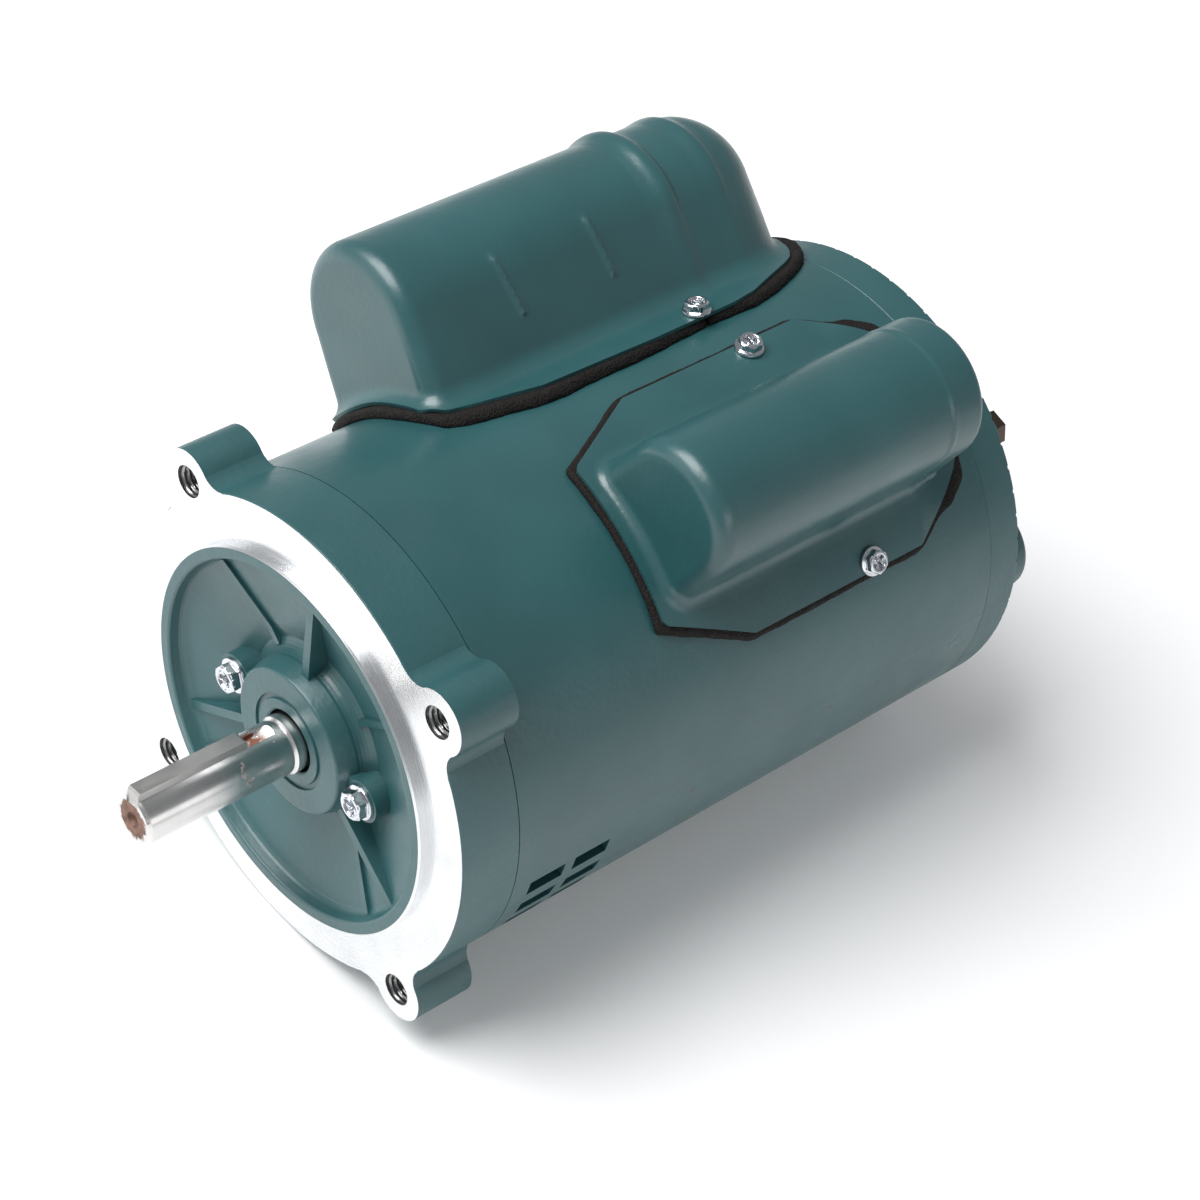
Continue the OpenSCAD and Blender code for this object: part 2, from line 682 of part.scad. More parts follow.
module shaft() color(steel) motor() difference() {
    rotate_extrude() shaft_section();
    spoke(key_angle) {
        block([key_floor, -key_w / 2, -shaft_reach - 1], [12, key_w / 2, -17.4]);
        translate([key_floor + 19, 0, -17.4]) rotate([90, 0, 0])
            cylinder(r = 19, h = key_w, center = true);
    }
    translate([0, 0, -shaft_reach - 0.1]) cylinder(r1 = 2.4, r2 = 0.6, h = 2.6);
}

module shaft_key() color(steel) motor() spoke(key_angle) difference() {
    block([key_floor, -key_w / 2, -shaft_reach + 0.4],
        [key_floor + key_w, key_w / 2, -shaft_reach + 0.4 + key_len]);
    for (e = [0, 1]) translate([key_floor + key_w, 0, -shaft_reach + 0.4 + e * key_len])
        rotate([0, 45, 0]) cube([1, 6, 1], center = true);
}

module rotor_core() color([0.42, 0.42, 0.44]) motor() translate([0, 0, stack_front])
    linear_extrude(stack_len) difference() {
        circle(r = rotor_r);
        circle(r = seat_r);
        for (i = [0:bar_count - 1]) rotate(i * 360 / bar_count) translate([36.6, 0]) circle(r = 2.6);
    }

module rotor_cage() color(bare_cast) motor() {
    for (i = [0:bar_count - 1]) rotate([0, 0, i * 360 / bar_count])
        translate([36.6, 0, stack_front - 1]) cylinder(r = 2.6, h = stack_len + 2);
    tube(40, 30, stack_front - 10, stack_front);
    tube(40, 30, stack_back, stack_back + 10);
    for (i = [0:8]) rotate([0, 0, i * 40]) {
        block([30.5, -1.2, stack_front - 17], [39, 1.2, stack_front - 9]);
        block([30.5, -1.2, stack_back + 9], [39, 1.2, stack_back + 15]);
    }
}

// ---- Governor ----

module governor_base() color(zinc) motor() difference() {
    union() {
        rod(12.6, governor_front, governor_front + 8);
        rod(24, governor_front, governor_front + 2);
        for (sx = [-1, 1]) for (sy = [-1, 1]) scale([sx, sy, 1]) {
            block([19, 6, governor_front], [21.4, 8, pivot_d + 3]);
            block([19, 6, pivot_d - 3.5], [26.4, 8, pivot_d + 3]);
        }
    }
    rod(neck_r, governor_front - 1, governor_front + 9);
    for (sx = [-1, 1]) translate([sx * pivot_x, 0, pivot_d]) rotate([90, 0, 0])
        cylinder(r = pin_r, h = 30, center = true);
}

module governor_pins() color(steel) motor() for (sx = [-1, 1])
    translate([sx * pivot_x, 0, pivot_d]) rotate([90, 0, 0]) cylinder(r = pin_r, h = 18, center = true);

module governor_weight() difference() {
    union() {
        block([22, -5.4, 164], [32, 5.4, 172]);
        block([22, -15.5, 166], [25, 15.5, 170]);
        block([22.6, -5.4, 171], [25.4, 5.4, pivot_d]);
        translate([pivot_x, 0, pivot_d]) rotate([90, 0, 0]) cylinder(r = 3, h = 10.8, center = true);
        block([12.3, -3, pivot_d - 1], [pivot_x, 3, pivot_d + 1]);
    }
    translate([pivot_x, 0, pivot_d]) rotate([90, 0, 0]) cylinder(r = pin_r + 0.06, h = 20, center = true);
}
module governor_weight_right() color(zinc) motor() governor_weight();
module governor_weight_left() color(zinc) motor() mirror([1, 0, 0]) governor_weight();

module governor_springs() color(steel) motor() for (sy = [-1, 1])
    translate([-21.6, sy * 15, 168]) rotate([0, 90, 0]) cylinder(r = 1.9, h = 43.2);

module governor_collar() color("ivory") motor() difference() {
    union() {
        rod(11.6, collar_front, collar_back);
        rod(17, pivot_d - 4.6, pivot_d - 2.6);
        rod(18, pivot_d + 2.6, collar_back);
    }
    rod(neck_r + 0.06, collar_front - 1, 190);
}

front_endbell();
front_bearing_outer_ring();
front_bearing_shields();
bearing_retainer();
retainer_screws();
frame_shell();
stator_core();
main_winding();
start_winding();
rear_endbell();
rear_bearing_outer_ring();
rear_bearing_shields();
wave_washer();
through_bolts();
start_capacitor_cover();
start_cover_gasket();
start_cover_screws();
start_capacitor();
start_capacitor_terminals();
start_capacitor_leads();
run_capacitor_cover();
run_cover_gasket();
run_cover_screws();
run_capacitor();
run_capacitor_terminals();
run_capacitor_leads();
lead_grommets();
terminal_board();
terminal_blades();
terminal_board_screws();
switch_plate();
fixed_contact();
terminal_cover();
terminal_cover_screws();
ground_screw();
front_balls();
front_ball_cage();
rear_balls();
rear_ball_cage();
shaft();
shaft_key();
rotor_core();
rotor_cage();
front_bearing_inner_ring();
rear_bearing_inner_ring();
governor_base();
governor_pins();
governor_springs();
governor_collar();
governor_weight_right();
governor_weight_left();
switch_arm();
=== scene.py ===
import json
import math

import bmesh
import bpy
import numpy as np
from mathutils import Matrix, Vector


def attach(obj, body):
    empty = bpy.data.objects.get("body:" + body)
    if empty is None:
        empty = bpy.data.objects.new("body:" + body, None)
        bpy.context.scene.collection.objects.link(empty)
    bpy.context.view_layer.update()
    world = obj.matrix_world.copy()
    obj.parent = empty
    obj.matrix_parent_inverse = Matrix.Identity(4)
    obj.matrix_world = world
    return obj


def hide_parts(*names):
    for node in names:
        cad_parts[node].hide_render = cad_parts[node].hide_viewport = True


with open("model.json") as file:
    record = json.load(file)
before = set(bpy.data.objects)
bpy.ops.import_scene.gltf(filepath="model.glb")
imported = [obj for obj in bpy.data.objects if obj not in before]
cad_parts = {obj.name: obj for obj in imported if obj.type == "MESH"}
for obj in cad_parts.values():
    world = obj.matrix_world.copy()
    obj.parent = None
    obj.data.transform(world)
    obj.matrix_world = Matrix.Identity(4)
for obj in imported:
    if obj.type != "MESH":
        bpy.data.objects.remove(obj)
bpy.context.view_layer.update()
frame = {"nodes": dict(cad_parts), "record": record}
NODES = frame["nodes"]

# Shapes are in millimetres until they reach a mesh. Materials, lights and the floor are in metres.
# Clock angles are degrees counter-clockwise from +x, seen from the shaft's end. Depth runs back along +y.
MM = 0.001
SHELL_R = 71.0
EAR_C = 74.6125
EARS = (45, 135, 225, 315)
START_AXIS, RUN_AXIS = 130.0, 60.0


def rad(a):
    return math.radians(a)


# ---------------------------------------------------------------- materials

def scaled(colour, k):
    return tuple(c * k for c in colour)


class Shader:
    """A Principled material with small helpers to chain procedural nodes."""

    def __init__(self, name, colour, rough, metal=0.0, **sockets):
        self.material = bpy.data.materials.new(name)
        self.material.use_nodes = True
        self.tree = self.material.node_tree
        self.bsdf = self.tree.nodes["Principled BSDF"]
        self.bsdf.inputs["Metallic"].default_value = metal
        self.bsdf.inputs["Roughness"].default_value = rough
        self.bsdf.inputs["Base Color"].default_value = (*colour, 1)
        for key, value in sockets.items():
            self.bsdf.inputs[key.replace("_", " ")].default_value = value
        self.coords = self.add("ShaderNodeTexCoord").outputs["Object"]
        self.bumped = None

    def add(self, kind, **props):
        node = self.tree.nodes.new(kind)
        for key, value in props.items():
            setattr(node, key, value)
        return node

    def put(self, socket, value):
        if isinstance(value, bpy.types.NodeSocket):
            self.tree.links.new(value, socket)
        else:
            socket.default_value = value

    def math(self, op, a, b=0.0):
        node = self.add("ShaderNodeMath", operation=op)
        self.put(node.inputs[0], a)
        self.put(node.inputs[1], b)
        return node.outputs[0]

    def noise(self, scale, detail=3.0, rough=0.5, stretch=(1, 1, 1)):
        """Noise with features of 1/scale metres."""
        source = self.coords
        if stretch != (1, 1, 1):
            mapping = self.add("ShaderNodeMapping")
            mapping.inputs["Scale"].default_value = stretch
            self.put(mapping.inputs["Vector"], source)
            source = mapping.outputs[0]
        node = self.add("ShaderNodeTexNoise")
        self.put(node.inputs["Vector"], source)
        node.inputs["Scale"].default_value = scale
        node.inputs["Detail"].default_value = detail
        node.inputs["Roughness"].default_value = rough
        return node.outputs["Fac"]

    def cells(self, scale):
        """Distance to the nearest point of a random set, about 1/scale metres apart."""
        node = self.add("ShaderNodeTexVoronoi")
        self.put(node.inputs["Vector"], self.coords)
        node.inputs["Scale"].default_value = scale
        return node.outputs["Distance"]

    def remap(self, value, a, b, c=0.0, d=1.0):
        """Takes the range a..b to c..d, and stops at its ends."""
        node = self.add("ShaderNodeMapRange")
        for i, v in enumerate((value, a, b, c, d)):
            self.put(node.inputs[i], v)
        return node.outputs[0]

    def mix(self, fac, a, b):
        node = self.add("ShaderNodeMix", data_type="RGBA")
        self.put(node.inputs[0], fac)
        for socket, v in ((node.inputs[6], a), (node.inputs[7], b)):
            self.put(socket, (*v, 1) if isinstance(v, tuple) else v)
        return node.outputs[2]

    def axis(self, index):
        node = self.add("ShaderNodeSeparateXYZ")
        self.put(node.inputs[0], self.coords)
        return node.outputs[index]

    def radius(self):
        """Distance from the motor's axis."""
        x, z = self.axis(0), self.axis(2)
        squares = self.math("ADD", self.math("MULTIPLY", x, x), self.math("MULTIPLY", z, z))
        return self.math("SQRT", squares)

    def away_from(self, place):
        """Distance from a place."""
        node = self.add("ShaderNodeVectorMath", operation="DISTANCE")
        self.put(node.inputs[0], self.coords)
        node.inputs[1].default_value = place
        return node.outputs["Value"]

    def colour(self, value):
        self.put(self.bsdf.inputs["Base Color"], value)

    def rough(self, value):
        self.put(self.bsdf.inputs["Roughness"], value)

    def metallic(self, value):
        self.put(self.bsdf.inputs["Metallic"], value)

    def bump(self, height, distance):
        """Adds a bump on top of those added before."""
        node = self.add("ShaderNodeBump")
        node.inputs["Strength"].default_value = 1.0
        node.inputs["Distance"].default_value = distance
        self.put(node.inputs["Height"], height)
        if self.bumped:
            self.put(node.inputs["Normal"], self.bumped)
        self.bumped = node.outputs[0]
        self.put(self.bsdf.inputs["Normal"], self.bumped)


TEAL = (0.021, 0.083, 0.089)
SPECK = (0.20, 0.28, 0.27)
CHIP_BROWN = (0.045, 0.028, 0.016)
# Chips in the shell's paint: (x, y, z) and radius in metres.
CHIPS = (((0.07064, 0.0843, -0.00717), 0.0009), ((0.0709, 0.1362, -0.0037), 0.0007))


def paint(name, grain, depth, rough, lift=1.0):
    """Satin teal enamel: fine orange peel, faint colour drift, a few pale specks and chips. A lift above 1
    makes the whole tone lighter, as painted highlight.
    """
    tone = scaled(TEAL, lift)
    s = Shader(name, tone, rough, Specular_IOR_Level=0.70)
    base = s.mix(s.remap(s.noise(22, 3), 0.3, 0.7), scaled(tone, 0.90), scaled(tone, 1.12))
    specks = s.remap(s.cells(260), 0.035, 0.06, 1.0, 0.0)
    patchy = s.remap(s.noise(35, 1), 0.60, 0.64)
    base = s.mix(s.math("MULTIPLY", s.math("MULTIPLY", specks, patchy), 0.35), base, SPECK)
    for place, size in CHIPS:
        ragged = s.math("ADD", s.away_from(place), s.remap(s.noise(900, 3), 0.3, 0.7, -0.0004, 0.0004))
        base = s.mix(s.remap(ragged, size * 0.8, size, 1.0, 0.0), base, CHIP_BROWN)
    s.colour(base)
    s.rough(s.remap(s.noise(60, 4), 0.3, 0.7, rough - 0.04, rough + 0.07))
    s.bump(s.noise(grain, 2, 0.55), depth)
    s.bump(s.noise(90, 2), 0.00012)
    return s


def metal(name, colour, rough, grain=400, depth=0.00002, stretch=(1, 1, 1)):
    """Bare or plated metal with faint streaks."""
    s = Shader(name, colour, rough, 1.0)
    streaks = s.noise(grain, 4, 0.6, stretch)
    s.rough(s.remap(streaks, 0.3, 0.7, rough - 0.08, rough + 0.08))
    s.colour(s.mix(s.remap(s.noise(70, 3), 0.3, 0.7), scaled(colour, 0.90), colour))
    s.bump(streaks, depth)
    return s


def plastic(name, colour, rough, grain=900, depth=0.00003, drift=0.15):
    """Moulded plastic with a fine grain."""
    s = Shader(name, colour, rough)
    s.colour(s.mix(s.noise(45, 4), scaled(colour, 1 - drift), scaled(colour, 1 + drift)))
    s.rough(s.remap(s.noise(80, 3), 0.3, 0.7, rough - 0.06, rough + 0.08))
    s.bump(s.noise(grain, 3), depth)
    return s


def machined(name):
    """Turned aluminium: concentric tool marks round the motor's axis."""
    s = Shader(name, (0.86, 0.87, 0.88), 0.24, 1.0)
    rings = s.add("ShaderNodeTexNoise", noise_dimensions="1D")
    s.put(rings.inputs["W"], s.radius())
    rings.inputs["Scale"].default_value = 2600
    rings.inputs["Detail"].default_value = 3
    marks = rings.outputs["Fac"]
    s.rough(s.remap(marks, 0.3, 0.7, 0.20, 0.32))
    s.colour(s.mix(s.remap(s.noise(50, 4), 0.35, 0.75), (0.82, 0.83, 0.84), (0.69, 0.70, 0.71)))
    s.bump(marks, 0.000008)
    return s


def shaft_steel(name):
    """Ground steel: bright, fine circular marks, grey smears, rust specks and a rusty keyway run-out."""
    s = Shader(name, (0.66, 0.65, 0.64), 0.26, 1.0)
    turned = s.noise(1100, 3, 0.6, (0.10, 1.0, 0.10))
    smear = s.noise(60, 4, 0.6, (1.0, 0.35, 1.0))
    steel = s.mix(s.remap(smear, 0.35, 0.70), (0.76, 0.75, 0.74), (0.60, 0.59, 0.58))
    depth = s.axis(1)
    from_end = s.remap(depth, -0.0185, -0.0165)
    to_end = s.remap(depth, -0.0115, -0.0090, 1.0, 0.0)
    runout = s.math("MULTIPLY", from_end, to_end)
    slot = s.remap(s.radius(), 0.0071, 0.0076, 1.0, 0.0)
    patch = s.remap(s.noise(330, 4, 0.6), 0.42, 0.50)
    in_slot = s.math("MULTIPLY", s.math("MULTIPLY", runout, slot), patch)
    flecks = s.remap(s.noise(260, 4, 0.6), 0.66, 0.69)
    clusters = s.remap(s.noise(33, 1), 0.55, 0.60)
    fleck = s.math("MULTIPLY", flecks, clusters)
    rust = s.math("MAXIMUM", in_slot, s.math("MULTIPLY", fleck, 0.8))
    s.colour(s.mix(rust, steel, (0.21, 0.075, 0.040)))
    s.rough(s.math("ADD", s.remap(turned, 0.3, 0.7, 0.21, 0.27), s.math("MULTIPLY", rust, 0.45)))
    s.metallic(s.remap(rust, 0.0, 1.0, 1.0, 0.15))
    s.bump(turned, 0.0000012)
    s.bump(rust, 0.00004)
    return s


def rusty_end(name):
    """Bare shaft end: a bright turned rim round a patch of brown rust."""
    s = Shader(name, (0.6, 0.58, 0.56), 0.3, 1.0)
    ragged = s.math("ADD", s.radius(), s.remap(s.noise(420, 4, 0.65), 0.25, 0.75, -0.0011, 0.0011))
    patch = s.remap(ragged, 0.0052, 0.0058, 1.0, 0.0)
    brown = s.mix(s.remap(s.noise(600, 3), 0.38, 0.66), (0.24, 0.130, 0.092), (0.11, 0.058, 0.042))
    s.colour(s.mix(patch, (0.66, 0.65, 0.64), brown))
    s.metallic(s.remap(patch, 0.0, 1.0, 1.0, 0.1))
    s.rough(s.remap(patch, 0.0, 1.0, 0.26, 0.72))
    s.bump(s.math("MULTIPLY", s.noise(500, 4), patch), 0.00015)
    return s


def foam(name):
    """Charcoal foam rubber with open pores."""
    s = Shader(name, (0.008, 0.007, 0.0065), 0.9, Specular_IOR_Level=0.25)
    pores = s.cells(1500)
    s.colour(s.mix(s.remap(pores, 0.15, 0.5), (0.003, 0.0025, 0.0025), (0.013, 0.011, 0.010)))
    s.rough(s.remap(s.noise(300, 3), 0.3, 0.7, 0.75, 0.95))
    s.bump(pores, 0.00035)
    s.bump(s.noise(400, 3), 0.0003)
    return s


def laminated(name):
    """Stack of thin steel sheets, edge on."""
    s = Shader(name, (0.30, 0.30, 0.31), 0.45, 1.0)
    wave = s.add("ShaderNodeTexWave", bands_direction="Y")
    s.put(wave.inputs["Vector"], s.coords)
    wave.inputs["Scale"].default_value = 320
    s.bump(wave.outputs["Fac"], 0.00008)
    s.colour(s.mix(s.noise(60, 4), (0.24, 0.24, 0.25), (0.36, 0.35, 0.34)))
    s.rough(s.remap(s.noise(120, 3), 0.3, 0.7, 0.36, 0.52))
    return s


def wound(name, colour):
    """Enamelled wire, with strands along the motor."""
    s = Shader(name, colour, 0.3, 0.9)
    strands = s.noise(500, 2, 0.5, (1.0, 0.15, 1.0))
    s.colour(s.mix(strands, scaled(colour, 0.7), scaled(colour, 1.3)))
    s.rough(s.remap(strands, 0.3, 0.7, 0.2, 0.42))
    s.bump(strands, 0.0004)
    return s


# One material for each material slot in the record.
MATERIALS = {
    # The cast parts carry the same enamel as the sheet, made 5% lighter as painted highlight on the front
    # bell's band and ears.
    "painted_cast": paint("paint_cast", 480, 0.00011, 0.38, 1.05),
    "painted_sheet": paint("paint_sheet", 560, 0.00007, 0.31),
    "shaft_steel": shaft_steel("shaft_steel"),
    "bearing_steel": metal("bearing_steel", (0.66, 0.66, 0.68), 0.16),
    "zinc_plate": metal("zinc_plate", (0.68, 0.70, 0.73), 0.14, 260, 0.00002),
    "dark_bolt": metal("dark_bolt", (0.10, 0.075, 0.06), 0.42, 300, 0.00005),
    "foam_rubber": foam("foam_rubber"),
    "lamination": laminated("lamination"),
    "copper_wire": wound("copper_wire", (0.55, 0.24, 0.10)),
    "cast_aluminium": metal("cast_aluminium", (0.66, 0.67, 0.68), 0.42, 300, 0.0001),
    "capacitor_case": plastic("capacitor_case", (0.020, 0.020, 0.022), 0.42),
    "phenolic": plastic("phenolic", (0.060, 0.036, 0.020), 0.5, 600, 0.00006, 0.25),
    "nylon": plastic("nylon", (0.62, 0.58, 0.46), 0.38),
    "contact_copper": metal("contact_copper", (0.62, 0.32, 0.17), 0.26, stretch=(1, 0.2, 1)),
    "lead_red": plastic("lead_red", (0.30, 0.02, 0.015), 0.4),
    "lead_yellow": plastic("lead_yellow", (0.50, 0.33, 0.03), 0.4),
    "green_screw": metal("green_screw", (0.10, 0.30, 0.14), 0.3),
}
# Finishes of single faces, and of the key.
MACHINED = machined("machined_face")
# The thread metal is grey bare metal, darkened as painted shade inside the ear holes.
THREAD_SHADED = metal("thread_metal_shaded", (0.30, 0.30, 0.30), 0.30)
BORE = metal("bore_metal", (0.13, 0.12, 0.115), 0.35)
RUSTY = rusty_end("rusty_end")
KEY_STEEL = metal("key_steel", (0.47, 0.46, 0.45), 0.40, 700, 0.00001, (1, 0.2, 1))
SLOT_OF = {p["node"]: p["material_slot"] for p in frame["record"]["subparts"]}

for name, obj in NODES.items():
    shader = KEY_STEEL if name == "shaft_key" else MATERIALS[SLOT_OF[name]]
    obj.data.materials.clear()
    obj.data.materials.append(shader.material)

# Bounds, in millimetres, of the faces that have another finish.
FACE_INNER_R = 56.0
PILOT_R = (56.5, 57.3)
PILOT_DEPTH = (-3.05, 0.6)
EAR_HOLE_R = 4.9
HUB_BORE_R = 9.6
HUB_BORE_DEPTH = (-1.7, 8.1)
SHAFT_TIP = -52.2
CENTRE_HOLE_R = 3.2
CENTRE_HOLE_END = -45.0


def finish_faces(node, shader, chosen):
    """Gives another finish to the faces of a node that chosen(centre, normal) picks, in millimetres."""
    mesh = NODES[node].data
    mesh.materials.append(shader.material)
    slot = len(mesh.materials) - 1
    for face in mesh.polygons:
        if chosen(face.center / MM, face.normal):
            face.material_index = slot


def off_axis(c):
    return math.hypot(c.x, c.z)


def on_ring(angle, r):
    """Place (x, z) at a clock angle and radius."""
    return r * math.cos(rad(angle)), r * math.sin(rad(angle))


def turned_face(c, n):
    """The mounting face with its ears, and the pilot's wall."""
    on_face = abs(c.y) < 0.05 and n.y < -0.9 and off_axis(c) > FACE_INNER_R
    on_pilot = PILOT_DEPTH[0] < c.y < PILOT_DEPTH[1] and PILOT_R[0] < off_axis(c) < PILOT_R[1]
    return on_face or (on_pilot and abs(n.y) < 0.9)


def ear_hole(c, n):
    centres = [on_ring(a, EAR_C) for a in EARS]
    return c.y > 0.01 and any(math.hypot(c.x - x, c.z - z) < EAR_HOLE_R for x, z in centres)


def hub_bore(c, n):
    in_bore = HUB_BORE_DEPTH[0] < c.y < HUB_BORE_DEPTH[1] and off_axis(c) < HUB_BORE_R
    return in_bore and abs(n.y) < 0.5


def shaft_end(c, n):
    """The shaft's front face and its centre hole."""
    return (c.y < SHAFT_TIP and n.y < -0.9) or (c.y < CENTRE_HOLE_END and off_axis(c) < CENTRE_HOLE_R)


# The mounting face and pilot are turned after painting, and the ear holes are tapped.
finish_faces("front_endbell", MACHINED, turned_face)
# The ear holes' walls and bottoms get the darkened thread metal: painted shade.
finish_faces("front_endbell", THREAD_SHADED, ear_hole)
finish_faces("front_endbell", BORE, hub_bore)
finish_faces("shaft", RUSTY, shaft_end)

# ---------------------------------------------------------------- mesh helpers

def put_mesh(name, verts, faces, slot, crease=32, stood_in=None, shader=None):
    """Makes a piece of the frame's body from millimetre vertices, in the place of a node if one is named."""
    mesh = bpy.data.meshes.new(name)
    points = [tuple(v) for v in np.asarray(verts, float) * MM]
    mesh.from_pydata(points, [], [list(map(int, f)) for f in faces])
    mesh.validate()
    build = bmesh.new()
    build.from_mesh(mesh)
    bmesh.ops.remove_doubles(build, verts=build.verts, dist=1e-7)
    bmesh.ops.recalc_face_normals(build, faces=build.faces)
    build.to_mesh(mesh)
    build.free()
    mesh.shade_smooth()
    mesh.set_sharp_from_angle(angle=rad(crease))
    obj = bpy.data.objects.new(name, mesh)
    bpy.context.scene.collection.objects.link(obj)
    mesh.materials.append((shader or MATERIALS[slot]).material)
    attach(obj, "frame")
    if stood_in:
        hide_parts(stood_in)


def tube_faces(rows, sides):
    """Quads between rows of points, each a closed ring of the same number of sides."""
    faces = []
    for a in range(0, (rows - 1) * sides, sides):
        for j in range(sides):
            k = (j + 1) % sides
            faces.append((a + j, a + k, a + sides + k, a + sides + j))
    return faces


def capped_tube(rows, sides):
    """tube_faces closed at both ends."""
    last = (rows - 1) * sides
    return tube_faces(rows, sides) + [tuple(reversed(range(sides))), tuple(last + j for j in range(sides))]


def joined(parts):
    """One array of points and one list of faces from several pairs of them."""
    points, faces, count = [], [], 0
    for part_points, part_faces in parts:
        points.append(part_points)
        faces += [tuple(i + count for i in f) for f in part_faces]
        count += len(part_points)
    return np.concatenate(points), faces


def radial_frame(angle):
    """Axes at a clock angle: across (towards smaller angles), outwards, and back along the body."""
    a = rad(angle)
    outward = np.array([math.cos(a), 0.0, math.sin(a)])
    across = np.array([math.sin(a), 0.0, -math.cos(a)])
    return np.stack([across, outward, np.array([0.0, 1.0, 0.0])])


def round_union(a, b, r):
    """Union of two distance fields with a fillet of radius r."""
    return np.maximum(r, np.minimum(a, b)) - np.hypot(np.maximum(r - a, 0), np.maximum(r - b, 0))


def round_cut(a, b, r):
    """Intersection of two distance fields with an edge of radius r."""
    return np.minimum(-r, np.maximum(a, b)) + np.hypot(np.maximum(r + a, 0), np.maximum(r + b, 0))


def smooth(x, a, b):
    """Rises smoothly from 0 at a to 1 at b."""
    k = np.clip((x - a) / (b - a), 0, 1)
    return k * k * (3 - 2 * k)


def to_segment(px, py, a, b):
    """Distance from points to a segment in a plane."""
    ax, ay, bx, by = *a, *b
    k = np.clip(((px - ax) * (bx - ax) + (py - ay) * (by - ay)) / ((bx - ax) ** 2 + (by - ay) ** 2), 0, 1)
    return np.hypot(px - ax - k * (bx - ax), py - ay - k * (by - ay))


def soft_table(pairs, sigma):
    """Piecewise-linear curve through (depth, value) pairs, rounded by a Gaussian of sigma mm."""
    step, span, beyond = 0.2, 25, 20
    xs = np.arange(pairs[0][0] - beyond, pairs[-1][0] + beyond, step)
    ys = np.interp(xs, [p[0] for p in pairs], [p[1] for p in pairs])
    kernel = np.exp(-0.5 * (np.arange(-span, span + 1) * step / sigma) ** 2)
    ys = np.convolve(np.pad(ys, span, mode="edge"), kernel / kernel.sum(), mode="valid")
    return lambda y: np.interp(y, xs, ys)


# ---------------------------------------------------------------- drawn covers

# Points of half a ring of a cover: along half of each end, round each corner, and along the side.
END_POINTS, CORNER_POINTS, SIDE_POINTS = 16, 10, 210
# Rings of a cover: across its flange, as shares of the way in, then up its walls and over its crown.
FLANGE_SHARES = (0, 0.04, 0.12, 0.28, 0.46, 0.64, 0.82)
WALL_RINGS, CROWN_RINGS = 26, 40
CROWN_ARC = 87.0
LEAST_FLANGE = 1.3
SKIN_THICK = 1.1


def nothing(*place):
    return 0.0


class Cover:
    """Deep-drawn cover: a U-shaped dome on a flange that follows the shell.

    Points are (across, height, depth), and height is the distance from the motor's axis along the cover's
    own clock angle. The dome is 2 * half wide, and its round crown starts at the height called spine. step
    widens the dome, relief raises its surface, and lift raises the flange.
    skin() is positive outside and negative inside the outer surface.
    """

    def __init__(self, axis, half, spine, front, rear, flange_r, outline, front_r, rear_r, fillet,
                 draft=0.03, step=nothing, relief=nothing, lift=nothing):
        self.axis, self.half, self.spine = axis, half, spine
        self.front, self.rear, self.flange_r = front, rear, flange_r
        self.outline, self.front_r, self.rear_r, self.fillet = outline, front_r, rear_r, fillet
        self.draft, self.step, self.relief, self.lift = draft, step, relief, lift

    def skin(self, p):
        t, h, y = p[:, 0], p[:, 1], p[:, 2]
        lean = self.draft * np.maximum(self.spine - h, 0)
        arch = np.hypot(t, np.maximum(h - self.spine, 0)) - self.half - lean - self.step(t, h, y)
        body = round_cut(arch, self.front - lean - y, self.front_r)
        body = round_cut(body, y - self.rear - lean, self.rear_r) - self.relief(t, h, y)
        flange = np.hypot(t, h) - self.flange_r - self.lift(t, y)
        root = self.fillet * (1 - 0.75 * smooth(y, self.rear - 14, self.rear - 2))
        return round_union(body, flange, root)

    def slope(self, p, step=0.01):
        """Gradient of skin(), from differences over a small step."""
        grads = []
        for d in np.eye(3) * step:
            grads.append((self.skin(p + d) - self.skin(p - d)) / (2 * step))
        return np.stack(grads, 1)

    def settle(self, p, upright, rounds=14):
        """Moves points onto the surface, along the gradient or, if upright, along the height only."""
        for _ in range(rounds):
            f, g = self.skin(p), self.slope(p)
            if upright:
                p = p - np.stack([0 * f, f / np.where(np.abs(g[:, 1]) < 0.2, 0.2, g[:, 1]), 0 * f], 1)
            else:
                p = p - g * (f / np.maximum((g * g).sum(1), 0.05))[:, None] * 0.9
        return p


def half_ring(half, front, rear, front_r, rear_r):
    """Half of a rounded rectangle, from its front middle to its rear middle, with outward directions."""
    rows = [(((half - front_r) * k / END_POINTS, front), (0, -1)) for k in range(END_POINTS)]
    for k in range(CORNER_POINTS):
        a = rad(-90 + 90 * k / CORNER_POINTS)
        corner = (half - front_r * (1 - math.cos(a)), front + front_r * (1 + math.sin(a)))
        rows.append((corner, (math.cos(a), math.sin(a))))
    for k in range(SIDE_POINTS):
        rows.append(((half, front + front_r + (rear - rear_r - front - front_r) * k / SIDE_POINTS), (1, 0)))
    for k in range(CORNER_POINTS):
        a = rad(90 * k / CORNER_POINTS)
        corner = (half - rear_r * (1 - math.cos(a)), rear - rear_r * (1 - math.sin(a)))
        rows.append((corner, (math.cos(a), math.sin(a))))
    rows += [(((half - rear_r) * (1 - k / END_POINTS), rear), (0, 1)) for k in range(END_POINTS + 1)]
    points, normals = zip(*rows)
    return np.array(points, float), np.array(normals, float)


